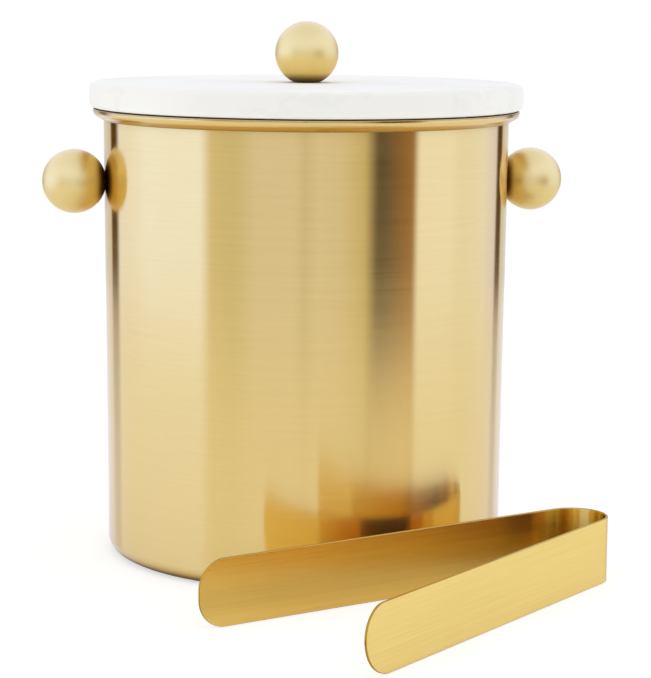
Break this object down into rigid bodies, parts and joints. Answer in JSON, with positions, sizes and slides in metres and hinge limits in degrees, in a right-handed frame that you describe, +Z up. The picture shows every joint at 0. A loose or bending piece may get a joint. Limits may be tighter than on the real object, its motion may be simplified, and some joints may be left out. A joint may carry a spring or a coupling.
{
  "type": "ice bucket set",
  "caption": "Double-walled brass ice bucket with ball handles, a stone lid with a ball knob, and spring ice tongs standing beside it.",
  "frame": {"origin": "centre of the bucket's underside, on the table that the set stands on", "axes": "+Z up along the bucket's axis; the two ball handles lie on the X axis; the tongs stand on the -Y side, towards +X"},
  "size_m": [0.2109, 0.2768, 0.2107],
  "materials": {
    "brass_body": "satin, brushed round the wall",
    "brass_rim": "satin, polished bead",
    "brass_ball": "satin, turned",
    "brass_strip": "satin, brushed along the strip",
    "steel_liner": "satin, spun",
    "steel_hardware": "bright zinc",
    "white_stone": "honed white marble with faint veins",
    "silicone": "translucent white, matt",
    "black_rubber": "matt"
  },
  "bodies": {
    "bucket": {"outer_shell": "brass_body", "inner_liner": "steel_liner", "rim_ring": "brass_rim", "base_pad": "black_rubber", "left_handle_ball": "brass_ball", "left_handle_gasket": "black_rubber", "left_handle_backing": "steel_hardware", "left_handle_washer": "steel_hardware", "left_handle_screw": "steel_hardware", "right_handle_ball": "brass_ball", "right_handle_gasket": "black_rubber", "right_handle_backing": "steel_hardware", "right_handle_washer": "steel_hardware", "right_handle_screw": "steel_hardware"},
    "lid": {"lid_slab": "white_stone", "lid_insert": "steel_liner", "lid_seal": "silicone", "knob_ball": "brass_ball", "knob_cushion": "black_rubber", "knob_washer": "steel_hardware", "knob_screw": "steel_hardware"},
    "tongs": {"tongs_bow": "brass_strip"},
    "front_arm": {"tongs_front_arm": "brass_strip"},
    "rear_arm": {"tongs_rear_arm": "brass_strip"}
  },
  "joints": [
    {"name": "lid_lift", "type": "slide", "parent": "bucket", "child": "lid", "axis": [0, 0, 1], "range_m": [0, 0.12]},
    {"name": "tongs_lift", "type": "slide", "parent": "bucket", "child": "tongs", "axis": [0, 0, 1], "range_m": [0, 0.22]},
    {"name": "front_arm_flex", "type": "hinge", "parent": "tongs", "child": "front_arm", "pos_m": [0.10245, -0.07888, 0.0125], "axis": [0, 0, -1], "range_deg": [0, 14.6], "stiffness_Nm_per_rad": 1.2},
    {"name": "rear_arm_flex", "type": "hinge", "parent": "tongs", "child": "rear_arm", "pos_m": [0.08872, -0.05875, 0.0125], "axis": [0, 0, 1], "range_deg": [0, 14.6], "stiffness_Nm_per_rad": 1.2}
  ],
  "couplings": [
    {"joint": "rear_arm_flex", "follows": "front_arm_flex", "ratio": 1}
  ]
}
